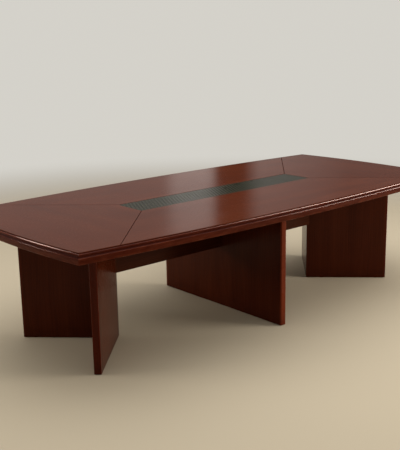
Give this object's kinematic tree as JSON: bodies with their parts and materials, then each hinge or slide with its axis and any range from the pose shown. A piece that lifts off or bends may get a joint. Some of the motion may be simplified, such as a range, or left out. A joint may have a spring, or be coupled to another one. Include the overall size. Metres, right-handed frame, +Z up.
{
  "type": "conference table",
  "caption": "Long boat-shaped conference table with a moulded rim, a woven inlay, V-shaped panel pedestals, a middle panel, rails and levelling glides.",
  "frame": {"origin": "on the floor under the middle of the top", "axes": "+X along the table's length, +Y across it, +Z up"},
  "size_m": [3, 1.38, 0.75],
  "materials": {
    "top_veneer": "mahogany veneer, satin lacquer",
    "solid_hardwood": "stained hardwood, satin lacquer",
    "panel_veneer": "mahogany veneer, satin lacquer",
    "core_board": "fibreboard, stained and sealed",
    "woven_panel": "dark grey woven texture",
    "zinc_steel": "zinc plated",
    "glide_plastic": "moulded black nylon"
  },
  "bodies": {
    "frame": {"angle_screws": "zinc_steel", "edge_moulding_back": "solid_hardwood", "edge_moulding_front": "solid_hardwood", "edge_moulding_left": "solid_hardwood", "edge_moulding_right": "solid_hardwood", "glide_inserts": "zinc_steel", "middle_back_lipping": "solid_hardwood", "middle_front_lipping": "solid_hardwood", "middle_panel": "panel_veneer", "pedestal_left_back_lipping": "solid_hardwood", "pedestal_left_back_panel": "panel_veneer", "pedestal_left_corner_block": "core_board", "pedestal_left_front_lipping": "solid_hardwood", "pedestal_left_front_panel": "panel_veneer", "pedestal_right_back_lipping": "solid_hardwood", "pedestal_right_back_panel": "panel_veneer", "pedestal_right_corner_block": "core_board", "pedestal_right_front_lipping": "solid_hardwood", "pedestal_right_front_panel": "panel_veneer", "rail_barrel_nuts": "zinc_steel", "rail_bolts": "zinc_steel", "rail_left": "panel_veneer", "rail_right": "panel_veneer", "rail_studs": "zinc_steel", "rim_backing_back": "core_board", "rim_backing_front": "core_board", "rim_backing_left": "core_board", "rim_backing_right": "core_board", "top_angles_left": "zinc_steel", "top_angles_middle": "zinc_steel", "top_angles_right": "zinc_steel", "top_core_board": "core_board", "top_field_back": "top_veneer", "top_field_front": "top_veneer", "top_field_left": "top_veneer", "top_field_right": "top_veneer", "woven_inlay": "woven_panel"},
    "glide_left_back_inner": {"levelling_glide_left_back_inner": "glide_plastic"},
    "glide_left_back_outer": {"levelling_glide_left_back_outer": "glide_plastic"},
    "glide_left_front_inner": {"levelling_glide_left_front_inner": "glide_plastic"},
    "glide_left_front_outer": {"levelling_glide_left_front_outer": "glide_plastic"},
    "glide_middle_back": {"levelling_glide_middle_back": "glide_plastic"},
    "glide_middle_front": {"levelling_glide_middle_front": "glide_plastic"},
    "glide_right_back_inner": {"levelling_glide_right_back_inner": "glide_plastic"},
    "glide_right_back_outer": {"levelling_glide_right_back_outer": "glide_plastic"},
    "glide_right_front_inner": {"levelling_glide_right_front_inner": "glide_plastic"},
    "glide_right_front_outer": {"levelling_glide_right_front_outer": "glide_plastic"}
  },
  "joints": [
    {"name": "glide_left_back_inner_screw", "type": "slide", "parent": "frame", "child": "glide_left_back_inner", "axis": [0, 0, -1], "range_m": [0, 0.012]},
    {"name": "glide_left_back_outer_screw", "type": "slide", "parent": "frame", "child": "glide_left_back_outer", "axis": [0, 0, -1], "range_m": [0, 0.012]},
    {"name": "glide_left_front_inner_screw", "type": "slide", "parent": "frame", "child": "glide_left_front_inner", "axis": [0, 0, -1], "range_m": [0, 0.012]},
    {"name": "glide_left_front_outer_screw", "type": "slide", "parent": "frame", "child": "glide_left_front_outer", "axis": [0, 0, -1], "range_m": [0, 0.012]},
    {"name": "glide_middle_back_screw", "type": "slide", "parent": "frame", "child": "glide_middle_back", "axis": [0, 0, -1], "range_m": [0, 0.012]},
    {"name": "glide_middle_front_screw", "type": "slide", "parent": "frame", "child": "glide_middle_front", "axis": [0, 0, -1], "range_m": [0, 0.012]},
    {"name": "glide_right_back_inner_screw", "type": "slide", "parent": "frame", "child": "glide_right_back_inner", "axis": [0, 0, -1], "range_m": [0, 0.012]},
    {"name": "glide_right_back_outer_screw", "type": "slide", "parent": "frame", "child": "glide_right_back_outer", "axis": [0, 0, -1], "range_m": [0, 0.012]},
    {"name": "glide_right_front_inner_screw", "type": "slide", "parent": "frame", "child": "glide_right_front_inner", "axis": [0, 0, -1], "range_m": [0, 0.012]},
    {"name": "glide_right_front_outer_screw", "type": "slide", "parent": "frame", "child": "glide_right_front_outer", "axis": [0, 0, -1], "range_m": [0, 0.012]}
  ]
}
